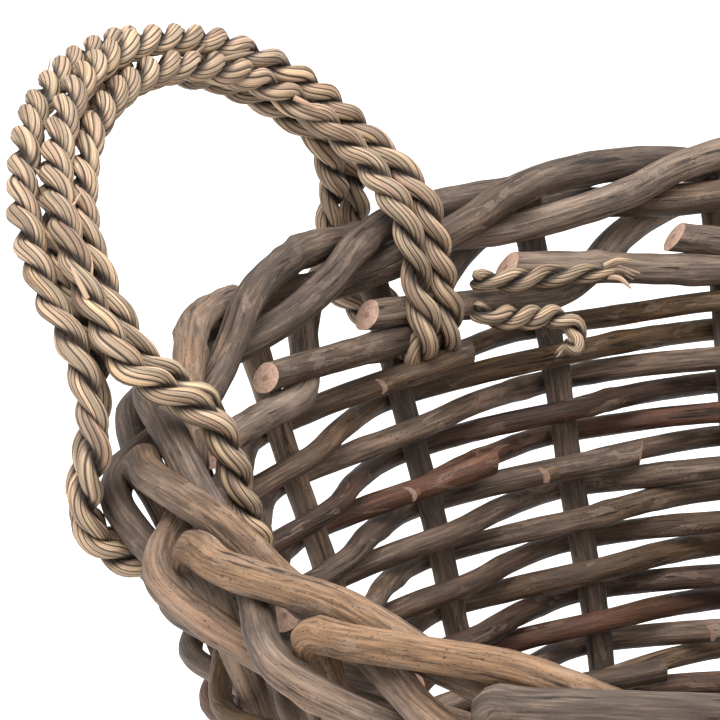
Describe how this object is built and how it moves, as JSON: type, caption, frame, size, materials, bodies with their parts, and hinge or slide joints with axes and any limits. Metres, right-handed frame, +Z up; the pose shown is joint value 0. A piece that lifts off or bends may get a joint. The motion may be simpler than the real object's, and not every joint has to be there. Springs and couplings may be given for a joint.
{
  "type": "wicker log basket",
  "caption": "Round tapered basket of unpeeled willow rods with a thick woven border and two swinging seagrass rope handles, for firewood.",
  "frame": {"origin": "on the floor at the centre of the base", "axes": "+Z up, the two handles on -X (left) and +X (right)"},
  "size_m": [0.5614, 0.5004, 0.3792],
  "materials": {
    "border_rod": "unpeeled willow bark, weathered grey-brown, matt",
    "weaver": "unpeeled willow bark, olive to dark red-brown, slightly waxy",
    "wale_rod": "unpeeled willow bark, brown, matt",
    "base_rod": "unpeeled willow bark, brown, matt",
    "seagrass": "two-ply twisted seagrass rope, straw, matt"
  },
  "bodies": {
    "basket": {"base_sticks": "base_rod", "base_weave": "base_rod", "foot_wale": "wale_rod", "stake_1": "border_rod", "stake_2": "border_rod", "stake_3": "border_rod", "stake_4": "border_rod", "stake_5": "border_rod", "stake_6": "border_rod", "stake_7": "border_rod", "stake_8": "border_rod", "stake_9": "border_rod", "stake_10": "border_rod", "stake_11": "border_rod", "stake_12": "border_rod", "stake_13": "border_rod", "stake_14": "border_rod", "stake_15": "border_rod", "stake_16": "border_rod", "stake_17": "border_rod", "stake_18": "border_rod", "stake_19": "border_rod", "stake_20": "border_rod", "stake_21": "border_rod", "stake_22": "border_rod", "weave_course_1": "weaver", "weave_course_2": "weaver", "weave_course_3": "weaver", "weave_course_4": "weaver", "weave_course_5": "weaver", "weave_course_6": "weaver", "weave_course_7": "weaver", "weave_course_8": "weaver", "weave_course_9": "weaver", "weave_course_10": "weaver", "weave_course_11": "weaver", "weave_course_12": "weaver", "lashing_left_front": "seagrass", "lashing_left_back": "seagrass", "lashing_right_front": "seagrass", "lashing_right_back": "seagrass", "rope_ends_left": "seagrass", "rope_ends_right": "seagrass"},
    "handle_left": {"handle_left_strand_1": "seagrass", "handle_left_strand_2": "seagrass", "handle_left_strand_3": "seagrass", "handle_left_strand_4": "seagrass"},
    "handle_right": {"handle_right_strand_1": "seagrass", "handle_right_strand_2": "seagrass", "handle_right_strand_3": "seagrass", "handle_right_strand_4": "seagrass"}
  },
  "joints": [
    {"name": "left_handle_swing", "type": "hinge", "parent": "basket", "child": "handle_left", "pos_m": [-0.21276, 0, 0.31166], "axis": [0, 1, 0], "range_deg": [-18, 58], "stiffness_Nm_per_rad": 1.5},
    {"name": "right_handle_swing", "type": "hinge", "parent": "basket", "child": "handle_right", "pos_m": [0.21276, 0, 0.31166], "axis": [0, -1, 0], "range_deg": [-18, 58], "stiffness_Nm_per_rad": 1.5}
  ]
}
